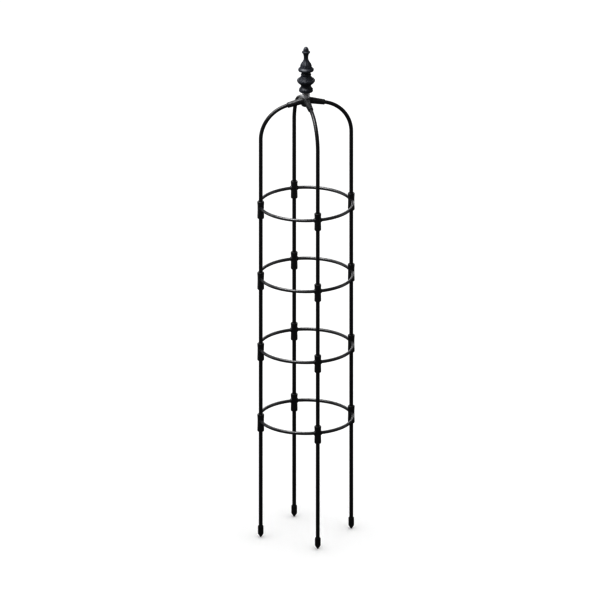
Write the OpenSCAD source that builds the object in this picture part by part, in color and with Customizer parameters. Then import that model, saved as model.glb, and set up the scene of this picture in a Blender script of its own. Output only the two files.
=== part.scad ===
// Garden obelisk: four round legs in a circle, tied together by rings and closed by
// a domed top that carries a turned finial. Every tube end plugs into a moulded socket.
// +Z is up. The origin is on the centre line, level with the tips of the four spikes.
// The front is the -Y side, and the legs stand at the four corners between the sides.

/* [Cage] */
// Diameter of the circle that the leg centrelines stand on
cage_d = 362; // [280:2:440]
// Height of the lowest ring above the spike tips
first_ring_h = 480; // [360:5:600]
// Distance from one ring up to the next
ring_pitch = 294; // [200:2:360]
// Number of rings
ring_count = 4; // [2:1:4]
// Straight rise of the legs from the top ring to the start of the dome
shoulder_rise = 275; // [120:5:360]

/* [Tubes] */
// Outside diameter of the leg and arch tubes
leg_d = 14; // [10:0.5:17]
// Wall of the leg and arch tubes
leg_wall = 0.8; // [0.6:0.1:1.5]
// Outside diameter of the ring tubes
ring_d = 12; // [8:0.5:15]
// Wall of the ring tubes
ring_wall = 0.8; // [0.6:0.1:1.5]
// Gap all round a tube in its socket
socket_gap = 0.15; // [0.05:0.05:0.3]
// Width of the lead-in chamfer at the mouth of a socket
lead_in = 1.4; // [0.4:0.1:2]
// How far an arch tube's end is drawn down all round to enter the hub
end_draw = 0.1; // [0.05:0.05:0.3]

/* [Connectors] */
// Length of a connector above the plane of its ring
connector_up = 29; // [24:1:45]
// Length of a connector below the plane of its ring
connector_down = 42; // [30:1:60]
// Plastic around the leg tube at the top lip
lip_wall = 5.8; // [4.5:0.1:9]
// Plastic around the leg tube at the waist, where the ring goes in
waist_wall = 4.9; // [4:0.1:8]
// Plastic around the leg tube at the bottom skirt
skirt_wall = 5.5; // [4.5:0.1:9]
// Plastic between the end of a leg tube and the ring sockets
floor_t = 2.4; // [1:0.2:5]
// Plastic between the two ring tubes that meet in one connector
ring_stop = 2; // [1:0.5:4]
// Plastic around a ring tube where it enters its connector
collar_wall = 2.2; // [1.2:0.1:4]
// How far that collar stands out from the waist
collar_out = 2.2; // [1:0.1:5]

/* [Spikes] */
// Height of a spike from its tip to its mouth
spike_h = 46; // [36:1:80]
// Height of the pointed end
point_h = 14; // [8:1:24]
// Plastic around the leg tube in a spike
spike_wall = 3.45; // [3.2:0.05:6]
// Diameter of the small flat at the tip
tip_d = 3.2; // [2:0.2:6]
// Plastic between the pointed end and the end of the leg tube
spike_floor = 2; // [1:0.5:5]

/* [Hub] */
// Distance from the centre line to the mouth of each hub arm
arm_reach = 66; // [50:1:90]
// Slope of the hub arms below the horizontal, in degrees
arm_slope = 13; // [6:1:24]
// Straight tube showing between the arch bend and its hub arm
arm_show = 2.6; // [1:0.2:12]
// Plastic around the arch tube at the mouth of an arm
mouth_wall = 3.1; // [1.4:0.1:4]
// Plastic around the arch tube at the root of an arm
root_wall = 6.2; // [3:0.1:7]
// Plastic between the round body of the hub and the end of each arch tube
arm_stop = 5; // [2:0.5:10]
// Height of the round body above the point where the arms meet
hub_up = 9; // [7:0.5:16]
// Depth of the round body below the point where the arms meet
hub_down = 17; // [15:0.5:26]
// Plastic around the stem in the hub
hub_wall = 4.2; // [2.5:0.1:8]
// Width of the chamfer around the bottom of the hub
hub_chamfer = 4; // [1:0.5:6]

/* [Stem] */
// Outside diameter of the stem that carries the finial
stem_d = 28.5; // [21:0.5:30.5]
// Wall of the stem
stem_wall = 1.6; // [1:0.1:3]
// Depth of the stem in the hub
stem_seat = 16; // [10:0.5:20]
// Length of stem between the hub and the finial
stem_show = 26; // [10:1:50]

/* [Finial] */
// Gap all round the stem in the finial, which lifts off
finial_fit = 0.08; // [0.02:0.01:0.1]
// Depth of the stem in the finial
finial_seat = 22; // [12:1:36]
// Diameter of the base rim
base_d = 54; // [46:1:80]
// Height of the thick rim around the base
base_edge = 8; // [4:0.5:10]
// Diameter of the waist above the base
waist_d = 38.4; // [36:0.2:44]
// Height of the waist above the bottom of the finial
waist_h = 22.5; // [12:0.5:34]
// Diameter of the bowl at its rim
bowl_d = 69; // [56:1:100]
// Height from the waist to the bowl's rim
bowl_h = 26; // [16:0.5:50]
// Thickness of the bowl's rim
bowl_edge = 4.5; // [2:0.5:8]
// Diameter of the neck above the bowl
neck_d = 36; // [28:0.5:44]
// Height from the bowl's rim to the neck
roof_h = 14.5; // [9:0.5:30]
// Diameter of the bead around the neck
bead_d = 39.6; // [32:0.2:50]
// Height from the neck to the middle of the bead
bead_h = 7.5; // [5:0.5:14]
// Diameter of the gorge above the bead
gorge_d = 29.6; // [20:0.2:32]
// Height from the middle of the bead to the gorge
gorge_h = 8.5; // [5:0.5:16]
// Diameter of the brim of the bell
brim_d = 59.6; // [48:0.2:80]
// Height from the gorge to the brim
brim_h = 11.5; // [6:0.5:24]
// Thickness of the brim
brim_edge = 3.5; // [1:0.5:4.5]
// Diameter of the bell at its foot
bell_d = 45.6; // [32:0.2:46]
// Height from the brim to the foot of the bell
bell_foot_h = 10.5; // [5:0.5:20]
// Diameter of the throat above the bell
throat_d = 16.6; // [10:0.2:24]
// Height from the foot of the bell to the throat
bell_h = 36; // [20:1:70]
// Diameter of the small cup at the top
cup_d = 31; // [26:0.5:44]
// Height from the throat to the small cup's rim
cup_h = 26; // [12:1:50]
// Thickness of the small cup's rim
cup_edge = 3; // [1:0.5:6]
// Diameter of the bud in the small cup
bud_d = 21; // [12:0.5:24]
// Height of the bud above the small cup's rim
bud_h = 21; // [10:1:50]

/* [Hidden] */
$fn = 72;
LEGS = ["front_left", "front_right", "back_right", "back_left"];
SIDES = ["front", "right", "back", "left"];
BAYS = ["upper", "middle", "lower"];
first_leg_angle = 225;
quarter = 90;

leg_r = leg_d / 2;
ring_r = ring_d / 2;
cage_r = cage_d / 2;
leg_socket_r = leg_r + socket_gap;
ring_socket_r = ring_r + socket_gap;
web_half = ring_socket_r + floor_t;
waist_r = leg_socket_r + waist_wall;
ring_stop_angle = asin(ring_stop / cage_d);
collar_angle = asin((waist_r + collar_out) / cage_r);
connector_edge = 1.2;
cut_past = 2;
draw_overlap = 1;

top_ring_h = first_ring_h + (ring_count - 1) * ring_pitch;
spring_h = top_ring_h + shoulder_rise;
bend_angle = quarter - arm_slope;
bend_end_r = arm_reach + arm_show;
bend_r = (cage_r - bend_end_r) / (1 - cos(bend_angle));
crown_h = spring_h + bend_r * sin(bend_angle) + bend_end_r * tan(arm_slope);

stem_r = stem_d / 2;
stem_socket_r = stem_r + socket_gap;
hub_r = stem_socket_r + hub_wall;
hub_top_h = crown_h + hub_up;
arm_root_r = leg_socket_r + root_wall;
arm_stop_run = (hub_r + arm_stop) / cos(arm_slope);
arm_run = arm_reach / cos(arm_slope);
finial_h = hub_top_h + stem_show;
stem_top_h = finial_h + finial_seat;

// Heights of the finial's outline above its bottom
bowl_top = waist_h + bowl_h;
neck_top = bowl_top + roof_h;
bead_top = neck_top + bead_h;
gorge_top = bead_top + gorge_h;
brim_top = gorge_top + brim_h;
bell_foot = brim_top + bell_foot_h;
throat_top = bell_foot + bell_h;
cup_top = throat_top + cup_h;
finial_top = cup_top + bud_h;
roof_steps = 3;
rim_edge = 2;
curve_steps = 8;

// Angle of a leg around the centre line, counted from front_left
function leg_angle(leg) = first_leg_angle + quarter * leg;

// Height of a ring, where ring 1 is the top one
function ring_h(ring) = top_ring_h - (ring - 1) * ring_pitch;

// Points of an S-shaped stretch of outline between two [radius, height] points
function ogee(low, high) = [
    for (step = [0:curve_steps])
        let (share = step / curve_steps)
            [
                low[0] + (high[0] - low[0]) * (1 - cos(180 * share)) / 2,
                low[1] + (high[1] - low[1]) * share
            ]
];

// Points of a hollow stretch of outline, upright at its upper end
function cove(low, high) = [
    for (step = [0:curve_steps])
        let (turn = quarter * step / curve_steps)
            [
                high[0] + (low[0] - high[0]) * (1 - sin(turn)),
                low[1] + (high[1] - low[1]) * (1 - cos(turn))
            ]
];

// Points of a hollow stretch of outline, upright at its lower end
function flare(low, high) = [
    for (step = [0:curve_steps])
        let (turn = quarter * step / curve_steps)
            [
                low[0] + (high[0] - low[0]) * (1 - cos(turn)),
                low[1] + (high[1] - low[1]) * sin(turn)
            ]
];

// Places its children at a leg, with +X pointing away from the centre line
module at_leg(leg) {
    rotate([0, 0, leg_angle(leg)])
        translate([cage_r, 0, 0])
            children();
}

// A straight open tube that starts at the origin and runs up +Z
module straight_tube(length, radius, wall) {
    difference() {
        cylinder(h = length, r = radius);
        translate([0, 0, -cut_past])
            cylinder(h = length + 2 * cut_past, r = radius - wall);
    }
}

// An open tube bent to a radius, from +X round towards +Y
module bent_tube(bend, angle, radius, wall) {
    rotate_extrude(angle = angle)
        translate([bend, 0])
            difference() {
                circle(r = radius);
                circle(r = radius - wall);
            }
}

// A solid round bar bent to a radius, from +X round towards +Y
module bent_bar(bend, angle, radius) {
    rotate_extrude(angle = angle)
        translate([bend, 0])
            circle(r = radius);
}

// A straight length of leg tube between two heights
module leg_tube(leg, low, high) {
    color("#1b1b1d")
        at_leg(leg)
            translate([0, 0, low])
                straight_tube(high - low, leg_r, leg_wall);
}

// The leg tube between ring bay + 1 and the ring below it
module bay_tube(bay, leg) {
    leg_tube(leg, ring_h(bay + 2) + web_half, ring_h(bay + 1) - web_half);
}

// The leg tube between the lowest ring and its spike
module ground_tube(leg) {
    leg_tube(leg, point_h + spike_floor, first_ring_h - web_half);
}

// The tube that rises from the top ring and bends over into the hub. Its last, straight
// stretch is drawn down a little and starts just inside the bend.
module arch_tube(leg) {
    rise = shoulder_rise - web_half;
    straight_in = bend_end_r / cos(arm_slope) - arm_stop_run;
    color("#1b1b1d")
        at_leg(leg)
            translate([0, 0, spring_h]) {
                translate([0, 0, -rise])
                    straight_tube(rise, leg_r, leg_wall);
                rotate([90, 0, 0])
                    translate([-bend_r, 0, 0]) {
                        bent_tube(bend_r, bend_angle, leg_r, leg_wall);
                        rotate([0, 0, bend_angle])
                            translate([bend_r, -draw_overlap, 0])
                                rotate([-90, 0, 0])
                                    straight_tube(straight_in + draw_overlap, leg_r - end_draw, leg_wall);
                    }
            }
}

// A quarter of a ring, from the leg at its start to the next one round
module ring_quarter(ring, side) {
    color("#202022")
        translate([0, 0, ring_h(ring)])
            rotate([0, 0, leg_angle(side) + ring_stop_angle])
                bent_tube(cage_r, quarter - 2 * ring_stop_angle, ring_r, ring_wall);
}

// The socket for one end of a leg tube, open towards +Z
module leg_socket(depth) {
    cylinder(h = depth + cut_past, r = leg_socket_r);
    translate([0, 0, depth - lead_in])
        cylinder(
            h = lead_in + cut_past,
            r1 = leg_socket_r,
            r2 = leg_socket_r + lead_in + cut_past
        );
}

// The outside of a connector: skirt, waist and flared lip
module connector_body() {
    lip_r = leg_socket_r + lip_wall;
    skirt_r = leg_socket_r + skirt_wall;
    rotate_extrude()
        polygon([
            [0, -connector_down],
            [skirt_r - connector_edge, -connector_down],
            [skirt_r, connector_edge - connector_down],
            [skirt_r, -connector_down * 0.75],
            [waist_r, -web_half],
            [waist_r, web_half],
            [lip_r, connector_up - 3 * connector_edge],
            [lip_r, connector_up - connector_edge],
            [lip_r - connector_edge, connector_up],
            [0, connector_up]
        ]);
}

// A connector, which joins two leg tubes and the ends of two ring quarters
module connector(ring, leg) {
    color("#26262a")
        translate([0, 0, ring_h(ring)])
            difference() {
                union() {
                    at_leg(leg)
                        connector_body();
                    rotate([0, 0, leg_angle(leg) - collar_angle])
                        bent_bar(cage_r, 2 * collar_angle, ring_socket_r + collar_wall);
                }
                at_leg(leg) {
                    translate([0, 0, web_half])
                        leg_socket(connector_up - web_half);
                    mirror([0, 0, 1])
                        translate([0, 0, web_half])
                            leg_socket(connector_down - web_half);
                }
                rotate([0, 0, leg_angle(leg) + ring_stop_angle])
                    bent_bar(cage_r, 2 * collar_angle, ring_socket_r);
                rotate([0, 0, leg_angle(leg) - ring_stop_angle - 2 * collar_angle])
                    bent_bar(cage_r, 2 * collar_angle, ring_socket_r);
            }
}

// A pointed foot that caps the bottom of a leg and pushes into the ground
module spike(leg) {
    spike_r = leg_socket_r + spike_wall;
    shoulder = spike_wall / 3;
    color("#161618")
        at_leg(leg)
            difference() {
                rotate_extrude()
                    polygon([
                        [0, 0],
                        [tip_d / 2, 0],
                        [spike_r, point_h],
                        [spike_r, spike_h - 2 * shoulder],
                        [spike_r - shoulder, spike_h],
                        [0, spike_h]
                    ]);
                translate([0, 0, point_h + spike_floor])
                    leg_socket(spike_h - point_h - spike_floor);
            }
}

// Places its children where a hub arm starts, with +Z running out along the arm
module along_arm(leg) {
    rotate([0, 0, leg_angle(leg)])
        translate([0, 0, crown_h])
            rotate([0, quarter + arm_slope, 0])
                children();
}

// The hub, with a sloping socket for each arch tube and an upright one for the stem
module top_hub() {
    color("#232326")
        difference() {
            union() {
                translate([0, 0, crown_h])
                    rotate_extrude()
                        polygon([
                            [0, -hub_down],
                            [hub_r - hub_chamfer, -hub_down],
                            [hub_r, hub_chamfer - hub_down],
                            [hub_r, hub_up - connector_edge],
                            [hub_r - connector_edge, hub_up],
                            [0, hub_up]
                        ]);
                for (leg = [0:3])
                    along_arm(leg)
                        cylinder(
                            h = arm_run,
                            r1 = arm_root_r,
                            r2 = leg_socket_r + mouth_wall
                        );
            }
            for (leg = [0:3])
                along_arm(leg)
                    translate([0, 0, arm_stop_run])
                        cylinder(h = arm_run - arm_stop_run + cut_past, r = leg_socket_r);
            translate([0, 0, hub_top_h - stem_seat])
                cylinder(h = stem_seat + arm_root_r, r = stem_socket_r);
        }
}

// The short pale tube that stands in the hub and carries the finial
module finial_stem() {
    foot = hub_top_h - stem_seat;
    color("#8c8c90")
        translate([0, 0, foot])
            straight_tube(stem_top_h - foot, stem_r, stem_wall);
}

// The finial's outline, from the rim of its base up to the tip of its bud
function finial_outline() =
    let (
        roof_top_r = neck_d / 2,
        roof_foot_r = bowl_d / 2 - 3 * rim_edge,
        tread = (roof_foot_r - roof_top_r) / roof_steps,
        riser = (roof_h - rim_edge) / roof_steps
    )
    concat(
        [[0, 0], [base_d / 2 - rim_edge, 0], [base_d / 2, rim_edge]],
        ogee([base_d / 2, base_edge], [waist_d / 2, waist_h]),
        ogee([waist_d / 2, waist_h + 1], [bowl_d / 2, bowl_top - bowl_edge]),
        [[bowl_d / 2, bowl_top], [bowl_d / 2 - rim_edge, bowl_top + rim_edge]],
        [
            for (step = [0:roof_steps - 1])
                each [
                    [roof_foot_r - step * tread, bowl_top + rim_edge + step * riser],
                    [roof_foot_r - (step + 0.5) * tread, bowl_top + rim_edge + (step + 1) * riser]
                ]
        ],
        [[roof_top_r, neck_top + rim_edge]],
        [[bead_d / 2, bead_top - rim_edge], [bead_d / 2, bead_top + rim_edge]],
        cove([bead_d / 2 - rim_edge, bead_top + 1.5 * rim_edge], [gorge_d / 2, gorge_top]),
        ogee([gorge_d / 2, gorge_top + 1], [brim_d / 2, brim_top - brim_edge]),
        ogee([brim_d / 2, brim_top + rim_edge / 2], [bell_d / 2, bell_foot]),
        ogee([bell_d / 2, bell_foot + rim_edge], [throat_d / 2, throat_top]),
        flare([throat_d / 2, throat_top + 1], [cup_d / 2, cup_top - cup_edge]),
        [[cup_d / 2, cup_top + rim_edge], [bud_d / 2, cup_top + 2 * rim_edge]],
        [
            for (step = [1:curve_steps])
                let (turn = quarter * step / curve_steps)
                    [bud_d / 2 * cos(turn), cup_top + 2 * rim_edge + (bud_h - 2 * rim_edge) * sin(turn)]
        ]
    );

// The turned finial, which drops over the stem
module finial() {
    color("#1a1c20")
        translate([0, 0, finial_h])
            difference() {
                rotate_extrude()
                    polygon(finial_outline());
                translate([0, 0, -cut_past])
                    cylinder(h = finial_seat + cut_past, r = stem_r + finial_fit);
            }
}

finial();
finial_stem();
top_hub();
for (leg = [0:3]) {
    arch_tube(leg);
    ground_tube(leg);
    spike(leg);
    for (bay = [0:ring_count - 2])
        bay_tube(bay, leg);
    for (ring = [1:ring_count]) {
        connector(ring, leg);
        ring_quarter(ring, leg);
    }
}
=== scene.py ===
"""A garden obelisk: black coated tubes, moulded connectors, a domed top and a turned finial.

Run as a script, it loads the fixed frame, builds every visible piece in place around it, gives
each one its finish, and sets a plain studio stage. All lengths are metres unless a name says mm.
"""

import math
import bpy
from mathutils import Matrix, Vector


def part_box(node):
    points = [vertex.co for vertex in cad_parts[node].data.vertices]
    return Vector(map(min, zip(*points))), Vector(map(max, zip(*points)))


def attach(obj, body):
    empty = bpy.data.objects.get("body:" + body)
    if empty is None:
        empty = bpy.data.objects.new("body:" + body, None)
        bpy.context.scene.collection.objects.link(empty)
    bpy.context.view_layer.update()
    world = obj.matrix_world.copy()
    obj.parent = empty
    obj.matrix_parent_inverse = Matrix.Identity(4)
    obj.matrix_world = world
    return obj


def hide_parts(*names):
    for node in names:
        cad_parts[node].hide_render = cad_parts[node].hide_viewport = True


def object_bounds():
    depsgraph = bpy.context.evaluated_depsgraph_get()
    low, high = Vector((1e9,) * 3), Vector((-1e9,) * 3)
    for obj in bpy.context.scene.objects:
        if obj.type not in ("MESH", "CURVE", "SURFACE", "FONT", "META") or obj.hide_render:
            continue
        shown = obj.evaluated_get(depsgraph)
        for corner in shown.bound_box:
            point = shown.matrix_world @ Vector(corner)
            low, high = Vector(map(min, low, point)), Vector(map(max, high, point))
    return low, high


bl_info = {
    "name": "Garden Obelisk",
    "version": (1, 0, 0),
    "blender": (4, 5, 0),
    "location": "3D View > Sidebar > Obelisk",
    "description": "Builds a garden obelisk and its studio stage around a fixed frame",
    "category": "Add Mesh",
}

import bmesh
import bpy
import numpy as np
from bpy.props import FloatProperty, FloatVectorProperty, IntProperty, PointerProperty
from bpy.types import Operator, Panel, PropertyGroup
from mathutils import Matrix, Vector

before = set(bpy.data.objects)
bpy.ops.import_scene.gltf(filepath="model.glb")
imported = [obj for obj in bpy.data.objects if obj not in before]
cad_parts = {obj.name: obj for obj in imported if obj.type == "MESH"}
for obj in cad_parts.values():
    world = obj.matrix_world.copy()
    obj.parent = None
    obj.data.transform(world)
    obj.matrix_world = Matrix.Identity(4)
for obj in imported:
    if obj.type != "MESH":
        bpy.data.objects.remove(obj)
CAD_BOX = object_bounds()

MM = 0.001
GRAIN = "grain"

LEGS = ("front_left", "front_right", "back_right", "back_left")
SIDES = ("front", "right", "back", "left")
BAYS = ("upper_tube", "middle_tube", "lower_tube")
RINGS = (1, 2, 3, 4)

# Shapes of the design that the frame's boxes don't give
TUBE_WALL = 0.8 * MM
SOCKET_GAP = 0.15 * MM
LEAD_IN = 1.4 * MM
ARM_SLOPE = math.radians(13)
ARM_STOP = 5 * MM
HUB_UP = 9 * MM
HUB_CHAMFER = 4 * MM
ARM_ROOT_WALL = 6.2 * MM
ARM_MOUTH_WALL = 3.1 * MM
ARM_SHOW = 2.6 * MM
DRAWN_DOWN = 0.1 * MM
HUB_WALL = 4.2 * MM
STEM_WALL = 1.6 * MM
SOCKET_FLOOR = 2.4 * MM
RING_STOP = 2 * MM
COLLAR_WALL = 2.2 * MM
COLLAR_OUT = 2.2 * MM
LIP_WALL = 5.8 * MM
WAIST_WALL = 4.9 * MM
SKIRT_WALL = 5.5 * MM
SPIKE_POINT = 14 * MM
SPIKE_FLOOR = 2 * MM
SPIKE_TIP_R = 1.6 * MM
FINIAL_SEAT = 22 * MM
FINIAL_GAP = 0.08 * MM

# How finely the surfaces are divided
TUBE_COLUMNS = 48
CONNECTOR_COLUMNS = 144
SPIKE_COLUMNS = 120
FINIAL_COLUMNS = 216
CURVE_STEPS = 24


# ---- Sizes read from the frame ------------------------------------------------------------


def box_centre(node):
    """The middle of a node's box."""
    low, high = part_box(node)
    return (low + high) / 2


def leg_turn(leg):
    """The angle of a leg round the centre line."""
    centre = box_centre("ground_tube_" + leg)
    return math.atan2(centre.y, centre.x)


LEG_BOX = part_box("ground_tube_front_left")
LEG_R = (LEG_BOX[1].x - LEG_BOX[0].x) / 2
CAGE_R = box_centre("ground_tube_front_left").xy.length
RING_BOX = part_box("ring_1_front")
RING_R = (RING_BOX[1].z - RING_BOX[0].z) / 2
RING_HEIGHTS = {ring: box_centre(f"ring_{ring}_front").z for ring in RINGS}
HUB_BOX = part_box("top_hub")
CROWN_Z = HUB_BOX[1].z - HUB_UP
STEM_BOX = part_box("finial_stem")
STEM_R = (STEM_BOX[1].x - STEM_BOX[0].x) / 2
FINIAL_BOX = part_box("finial")
SOCKET_R = LEG_R + SOCKET_GAP
ARM_MOUTH_R = SOCKET_R + ARM_MOUTH_WALL
ARM_ROOT_R = SOCKET_R + ARM_ROOT_WALL
HUB_R = STEM_R + SOCKET_GAP + HUB_WALL
ARM_REACH = math.sqrt(2) * HUB_BOX[1].x - ARM_MOUTH_R * math.sin(ARM_SLOPE)
RING_STOP_TURN = math.asin(RING_STOP / (2 * CAGE_R))


# ---- Sizes and finishes that a user may change --------------------------------------------


def length(name, description, size_mm):
    """A length property, with its default in millimetres."""
    return FloatProperty(
        name=name, description=description, default=size_mm * MM, min=0.0, unit="LENGTH", precision=4
    )


def share(name, description, default):
    """A property that runs from 0 to 1."""
    return FloatProperty(
        name=name, description=description, default=default, min=0.0, max=1.0, subtype="FACTOR"
    )


def colour(name, description, default):
    """A colour property, in scene-linear values."""
    return FloatVectorProperty(
        name=name, description=description, default=default, size=3, min=0.0, max=1.0, subtype="COLOR"
    )


def power(name, description, watts):
    """The power of a light."""
    return FloatProperty(name=name, description=description, default=watts, min=0.0, unit="POWER")


def count(name, description, default):
    """A whole number of repeats round a turned piece."""
    return IntProperty(name=name, description=description, default=default, min=3, max=36)


class ObeliskFinialSizes(PropertyGroup):
    """Sizes of the finial's outline, from its foot up, and of its carving."""

    base_d: length("Base rim", "Diameter of the base rim", 54)
    base_edge: length("Base edge", "Height of the thick rim round the base", 8)
    waist_d: length("Waist", "Diameter of the waist above the base", 38.4)
    waist_h: length("Waist height", "Height of the waist above the foot", 22.5)
    bowl_d: length("Bowl rim", "Diameter of the bowl at its rim", 69)
    bowl_h: length("Bowl height", "Height from the waist to the bowl's rim", 26)
    bowl_edge: length("Bowl edge", "Thickness of the bowl's rim", 4.5)
    neck_d: length("Neck", "Diameter of the neck above the bowl", 36)
    roof_h: length("Roof height", "Height from the bowl's rim to the neck", 14.5)
    bead_d: length("Bead", "Diameter of the bead round the neck", 39.6)
    bead_h: length("Bead height", "Height from the neck to the middle of the bead", 7.5)
    gorge_d: length("Gorge", "Diameter of the gorge above the bead", 29.6)
    gorge_h: length("Gorge height", "Height from the bead to the gorge", 8.5)
    brim_d: length("Brim", "Diameter of the brim under the bell", 59.6)
    brim_h: length("Brim height", "Height from the gorge to the brim", 11.5)
    brim_edge: length("Brim edge", "Thickness of the brim", 3.5)
    bell_d: length("Bell", "Diameter of the bell at its foot", 45.6)
    bell_foot_h: length("Bell foot", "Height from the brim to the foot of the bell", 10.5)
    throat_d: length("Throat", "Diameter of the throat above the bell", 16.6)
    bell_h: length("Bell height", "Height from the foot of the bell to the throat", 36)
    cup_d: length("Cup", "Diameter of the small cup at the top", 31)
    cup_h: length("Cup height", "Height from the throat to the cup's rim", 26)
    cup_edge: length("Cup edge", "Thickness of the small cup's rim", 3)
    bud_d: length("Bud", "Diameter of the bud in the cup", 21)
    bud_h: length("Bud height", "Height of the bud above the cup's rim", 21)
    rim_edge: length("Rim edge", "Thickness of the thin rims", 2)
    base_lobes: count("Base lobes", "Lobes round the base flare", 8)
    leaves: count("Leaves", "Leaves, flutes and ribs round the rest of the finial", 12)
    base_depth: length("Base lobe depth", "Depth between the lobes of the base", 0.9)
    leaf_depth: length("Leaf depth", "Depth between the leaves under the bowl", 1.7)
    flute_depth: length("Flute depth", "Depth of the flutes up the bell", 1.5)
    rib_depth: length("Rib depth", "Depth between the ribs of the roof, bead and cup", 0.8)


class ObeliskTrimSizes(PropertyGroup):
    """Sizes of the small shaping on the moulded pieces."""

    edge: length("Moulded edge", "Softened edge of the moulded pieces", 1.2)
    skirt_round: length("Skirt rounding", "Rounding of the lower edge of a connector", 2.8)
    seam_height: length("Seam height", "Height of the moulding seam on a connector", 0.12)
    seam_width: length("Seam width", "Width of the moulding seam on a connector", 0.7)
    spike_ribs: count("Spike ribs", "Upright ribs round a spike", 10)
    spike_rib_depth: length("Spike rib depth", "Depth between the ribs of a spike", 0.45)
    voxel: length("Hub fineness", "Size of the facets that the hub is blended at", 0.7)


class ObeliskFinishes(PropertyGroup):
    """Colours and gloss of the finishes."""

    coat_colour: colour("Tube coating", "Colour of the coated tubes", (0.0125, 0.0125, 0.0135))
    coat_roughness: share("Tube roughness", "Roughness of the coated tubes", 0.34)
    plastic_colour: colour("Moulded plastic", "Colour of connectors, hub and spikes", (0.0145, 0.0148, 0.016))
    plastic_roughness: share("Plastic roughness", "Roughness of the moulded pieces", 0.37)
    resin_colour: colour("Finial resin", "Colour of the finial", (0.0165, 0.0185, 0.024))
    resin_roughness: share("Resin roughness", "Roughness of the finial", 0.43)
    stem_colour: colour("Stem metal", "Colour of the bare stem", (0.36, 0.36, 0.37))
    stem_roughness: share("Stem roughness", "Roughness of the bare stem", 0.38)
    # On the moulded pieces this pale colour on upward faces is partly dust and partly a painted highlight on
    # the lips.
    dust_colour: colour("Dust", "Colour of the thin dust on upward faces", (0.16, 0.155, 0.145))
    floor_colour: colour("Floor", "Colour of the floor", (0.9, 0.9, 0.9))


class ObeliskStage(PropertyGroup):
    """The camera's framing and the strength of the lights."""

    azimuth: FloatProperty(
        name="Azimuth", description="Camera angle round the obelisk", default=math.radians(30.4),
        subtype="ANGLE"
    )
    elevation: FloatProperty(
        name="Elevation", description="Camera angle above level", default=math.radians(21),
        subtype="ANGLE"
    )
    frame_height: FloatProperty(
        name="Frame height", description="Height of the view at the obelisk", default=2.322, unit="LENGTH"
    )
    aim_height: FloatProperty(
        name="Aim height", description="Height that the camera looks at", default=0.9638, unit="LENGTH"
    )
    aim_left: FloatProperty(
        name="Aim left", description="How far left of the centre line the camera looks", default=0.0232,
        unit="LENGTH"
    )
    top_power: power("Top light", "Power of the light overhead", 200)
    left_power: power("Left light", "Power of the light on the left", 16)
    right_power: power("Right light", "Power of the light on the right", 12)
    back_power: power("Back light", "Power of the light behind", 60)
    contrast: FloatProperty(
        name="Contrast", description="Display gamma of the view", default=0.6, min=0.5, max=1.5
    )
    sky: FloatProperty(name="Surround", description="Brightness of the pale surround", default=1.18, min=0)


# ---- Outlines -----------------------------------------------------------------------------


def ogee(low, high):
    """Points of an S-shaped stretch of outline between two (radius, height) points."""
    part = np.linspace(0, 1, CURVE_STEPS)
    swing = (1 - np.cos(math.pi * part)) / 2
    return np.column_stack([low[0] + (high[0] - low[0]) * swing, low[1] + (high[1] - low[1]) * part])


def cove(low, high):
    """Points of a hollow stretch of outline, upright at its upper end."""
    turn = np.linspace(0, math.pi / 2, CURVE_STEPS)
    radius = high[0] + (low[0] - high[0]) * (1 - np.sin(turn))
    return np.column_stack([radius, low[1] + (high[1] - low[1]) * (1 - np.cos(turn))])


def flare(low, high):
    """Points of a hollow stretch of outline, upright at its lower end."""
    turn = np.linspace(0, math.pi / 2, CURVE_STEPS)
    radius = low[0] + (high[0] - low[0]) * (1 - np.cos(turn))
    return np.column_stack([radius, low[1] + (high[1] - low[1]) * np.sin(turn)])


def eased(outline, reach, steps=4):
    """The outline with each corner rounded, from reach before it to reach after it."""
    outline = np.asarray(outline, float)
    points = [outline[0]]
    part = np.linspace(0, 1, steps + 1)[:, None]
    for before, corner, after in zip(outline, outline[1:], outline[2:]):
        back, ahead = before - corner, after - corner
        start = corner + back * min(0.45, reach / np.linalg.norm(back))
        end = corner + ahead * min(0.45, reach / np.linalg.norm(ahead))
        points.extend((1 - part) ** 2 * start + 2 * part * (1 - part) * corner + part**2 * end)
    points.append(outline[-1])
    return np.array(points)


def divided(outline, gap):
    """The outline with points added so that none is further than gap from the next."""
    points = [outline[0]]
    for start, end in zip(outline, outline[1:]):
        steps = max(1, math.ceil(np.linalg.norm(end - start) / gap))
        points.extend(start + (end - start) * step / steps for step in range(1, steps + 1))
    return np.array(points)


def fade(value, low, high):
    """0 below low, 1 above high, and a smooth rise between them."""
    part = np.clip((value - low) / (high - low), 0, 1)
    return part * part * (3 - 2 * part)


# ---- Meshes -------------------------------------------------------------------------------


def turned(outline, columns, relief=None):
    """Rows of points round the Z axis. relief gives what to add to the radius at each point."""
    turn = np.linspace(0, 2 * math.pi, columns, endpoint=False)
    radius = np.repeat(outline[:, :1], columns, axis=1)
    height = np.repeat(outline[:, 1:], columns, axis=1)
    if relief is not None:
        radius = np.where(radius > 0, radius + relief(radius, height, turn[None, :]), radius)
    return np.stack([radius * np.cos(turn), radius * np.sin(turn), height], axis=2)


def swept(path, section, columns):
    """Rows of points round a path. section lists (distance along the path, radius)."""
    section = np.asarray(section, float)
    centre, side, up = path(section[:, 0])
    turn = np.linspace(0, 2 * math.pi, columns, endpoint=False)[None, :, None]
    spoke = np.cos(turn) * side[:, None, :] + np.sin(turn) * up[:, None, :]
    return centre[:, None, :] + section[:, 1][:, None, None] * spoke


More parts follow.
